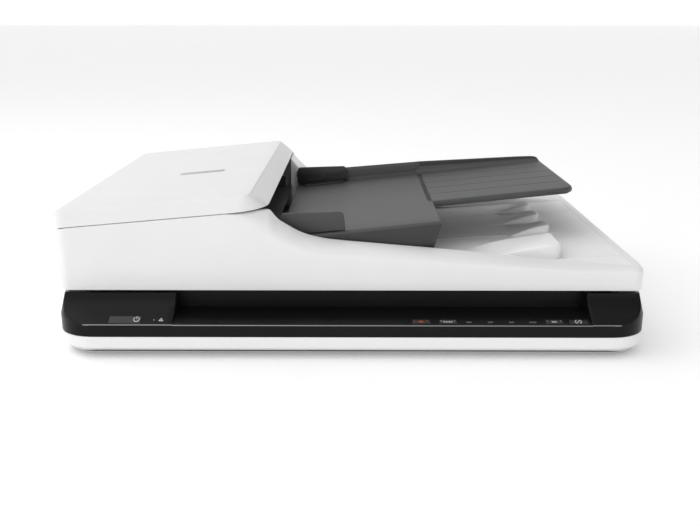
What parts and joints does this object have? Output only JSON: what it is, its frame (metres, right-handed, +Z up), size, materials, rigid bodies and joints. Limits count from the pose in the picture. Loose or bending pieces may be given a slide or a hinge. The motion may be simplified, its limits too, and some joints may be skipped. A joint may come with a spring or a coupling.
{
  "type": "flatbed scanner",
  "caption": "Low desktop flatbed scanner with a wedge-shaped sheet feeder in its hinged lid, a grey input tray with sliding guides, an output bin and a black front panel.",
  "frame": {"origin": "on the table, under the middle of the body's width and depth", "axes": "+X to the right seen from the front panel, along the longest side; +Y to the back; +Z up"},
  "size_m": [0.451, 0.351, 0.1219],
  "materials": {
    "white_shell": "fine moulded texture, satin",
    "bin_white": "satin",
    "black_gloss": "glossy black",
    "key_black": "glossy black",
    "tray_grey": "satin charcoal",
    "guide_grey": "fine texture, matt",
    "inner_black": "matt",
    "platen_grey": "fine texture, matt",
    "gear_white": "natural acetal",
    "clear_glass": "polished",
    "foam_white": "soft foam with a smooth white face",
    "rubber": "matt",
    "roller_rubber": "ground rubber",
    "steel": "turned steel",
    "motor_zinc": "plated",
    "board_green": "solder mask",
    "badge_silver": "brushed, satin",
    "cork": "matt"
  },
  "bodies": {
    "base": {"base_tub": "white_shell", "front_bezel": "black_gloss", "platen_frame": "platen_grey", "platen_glass": "clear_glass", "feeder_glass": "clear_glass", "rubber_feet": "rubber", "guide_rod": "steel", "scan_belt": "rubber", "motor_bracket": "motor_zinc", "scan_motor": "motor_zinc", "main_board": "board_green", "usb_socket": "steel", "dc_jack": "inner_black", "panel_board": "board_green", "key_switches": "inner_black", "base_screws": "steel"},
    "scan_head": {"carriage": "inner_black", "sensor_bar": "inner_black"},
    "scan_drive": {"drive_pulley": "gear_white"},
    "scan_idler": {"idler_pulley": "gear_white"},
    "power_key_body": {"power_button": "key_black"},
    "cancel_key_body": {"cancel_key": "key_black"},
    "tools_key_body": {"tools_key": "key_black"},
    "duplex_key_body": {"duplex_key": "key_black"},
    "scan_key_body": {"scan_key": "key_black"},
    "hinge_lift": {"hinge_post_left": "inner_black", "hinge_post_right": "inner_black", "hinge_pins": "steel"},
    "lid": {"lid_shell": "white_shell", "output_bin": "bin_white", "lid_underpan": "platen_grey", "backing_mat": "foam_white", "hinge_arm_left": "inner_black", "hinge_arm_right": "inner_black", "lid_screws": "steel", "pressure_plate": "platen_grey", "feeder_frame": "inner_black", "feeder_motor": "motor_zinc", "separation_pad": "cork", "entry_guide": "inner_black", "exit_guide": "inner_black", "feeder_scan_bar": "inner_black", "feeder_belt": "rubber", "cover_pins": "steel"},
    "feed_drum": {"feed_roller": "roller_rubber", "feed_gear": "gear_white"},
    "exit_drum": {"exit_roller": "roller_rubber", "exit_gear": "gear_white"},
    "pickup": {"pickup_roller": "roller_rubber", "pickup_gear": "gear_white"},
    "motor_pinion": {"drive_pinion": "gear_white"},
    "cover": {"feeder_cover": "white_shell", "cover_badge": "badge_silver", "cover_guide": "inner_black"},
    "pinch": {"pinch_roller": "inner_black"},
    "tray": {"tray_pan": "tray_grey", "tray_bottom": "inner_black"},
    "front_guide_body": {"front_guide": "guide_grey"},
    "rear_guide_body": {"rear_guide": "guide_grey"},
    "guide_gear": {"guide_pinion": "gear_white"}
  },
  "joints": [
    {"name": "scan_slide", "type": "slide", "parent": "base", "child": "scan_head", "axis": [1, 0, 0], "range_m": [0, 0.333]},
    {"name": "scan_drive_spin", "type": "hinge", "parent": "base", "child": "scan_drive", "pos_m": [0.188, -0.05, 0.015], "axis": [0, 0, 1], "continuous": true},
    {"name": "scan_idler_spin", "type": "hinge", "parent": "base", "child": "scan_idler", "pos_m": [-0.206, -0.05, 0.015], "axis": [0, 0, 1], "continuous": true},
    {"name": "power_press", "type": "slide", "parent": "base", "child": "power_key_body", "axis": [0, 0, -1], "range_m": [0, 0.0006], "stiffness_N_per_m": 800, "springref_m": -0.001},
    {"name": "cancel_press", "type": "slide", "parent": "base", "child": "cancel_key_body", "axis": [0, 0, -1], "range_m": [0, 0.0006], "stiffness_N_per_m": 800, "springref_m": -0.001},
    {"name": "tools_press", "type": "slide", "parent": "base", "child": "tools_key_body", "axis": [0, 0, -1], "range_m": [0, 0.0006], "stiffness_N_per_m": 800, "springref_m": -0.001},
    {"name": "duplex_press", "type": "slide", "parent": "base", "child": "duplex_key_body", "axis": [0, 0, -1], "range_m": [0, 0.0006], "stiffness_N_per_m": 800, "springref_m": -0.001},
    {"name": "scan_press", "type": "slide", "parent": "base", "child": "scan_key_body", "axis": [0, 0, -1], "range_m": [0, 0.0006], "stiffness_N_per_m": 800, "springref_m": -0.001},
    {"name": "hinge_lift_slide", "type": "slide", "parent": "base", "child": "hinge_lift", "axis": [0, 0, 1], "range_m": [0, 0.015]},
    {"name": "lid_hinge", "type": "hinge", "parent": "hinge_lift", "child": "lid", "pos_m": [0, 0.163, 0.052], "axis": [-1, 0, 0], "range_deg": [0, 80]},
    {"name": "feed_spin", "type": "hinge", "parent": "lid", "child": "feed_drum", "pos_m": [-0.182, 0, 0.068], "axis": [0, 1, 0], "continuous": true},
    {"name": "exit_spin", "type": "hinge", "parent": "lid", "child": "exit_drum", "pos_m": [-0.1, 0, 0.067], "axis": [0, 1, 0], "continuous": true},
    {"name": "pickup_spin", "type": "hinge", "parent": "lid", "child": "pickup", "pos_m": [-0.112, 0, 0.08893], "axis": [0, 1, 0], "continuous": true},
    {"name": "motor_pinion_spin", "type": "hinge", "parent": "lid", "child": "motor_pinion", "pos_m": [-0.1712, 0, 0.08671], "axis": [0, 1, 0], "continuous": true},
    {"name": "cover_hinge", "type": "hinge", "parent": "lid", "child": "cover", "pos_m": [-0.2233, 0, 0.0966], "axis": [0, -1, 0], "range_deg": [0, 75]},
    {"name": "pinch_spin", "type": "hinge", "parent": "cover", "child": "pinch", "pos_m": [-0.182, 0, 0.0878], "axis": [0, 1, 0], "continuous": true},
    {"name": "tray_hinge", "type": "hinge", "parent": "lid", "child": "tray", "pos_m": [-0.04912, 0, 0.07732], "axis": [0, -1, 0], "range_deg": [0, 30]},
    {"name": "front_guide_slide", "type": "slide", "parent": "tray", "child": "front_guide_body", "axis": [0, 1, 0], "range_m": [0, 0.075]},
    {"name": "rear_guide_slide", "type": "slide", "parent": "tray", "child": "rear_guide_body", "axis": [0, 1, 0], "range_m": [-0.075, 0]},
    {"name": "guide_gear_spin", "type": "hinge", "parent": "tray", "child": "guide_gear", "pos_m": [-0.02929, -0.0125, 0.07996], "axis": [-0.1023, 0, 0.9948], "continuous": true}
  ],
  "couplings": [
    {"joint": "scan_drive_spin", "follows": "scan_slide", "rad_per_m": -112.36},
    {"joint": "scan_idler_spin", "follows": "scan_slide", "rad_per_m": -112.36},
    {"joint": "exit_spin", "follows": "feed_spin", "ratio": 1},
    {"joint": "pickup_spin", "follows": "feed_spin", "ratio": -1},
    {"joint": "motor_pinion_spin", "follows": "feed_spin", "ratio": -3},
    {"joint": "pinch_spin", "follows": "feed_spin", "ratio": -3.0208},
    {"joint": "rear_guide_slide", "follows": "front_guide_slide", "ratio": -1},
    {"joint": "guide_gear_spin", "follows": "front_guide_slide", "rad_per_m": -142.86}
  ]
}
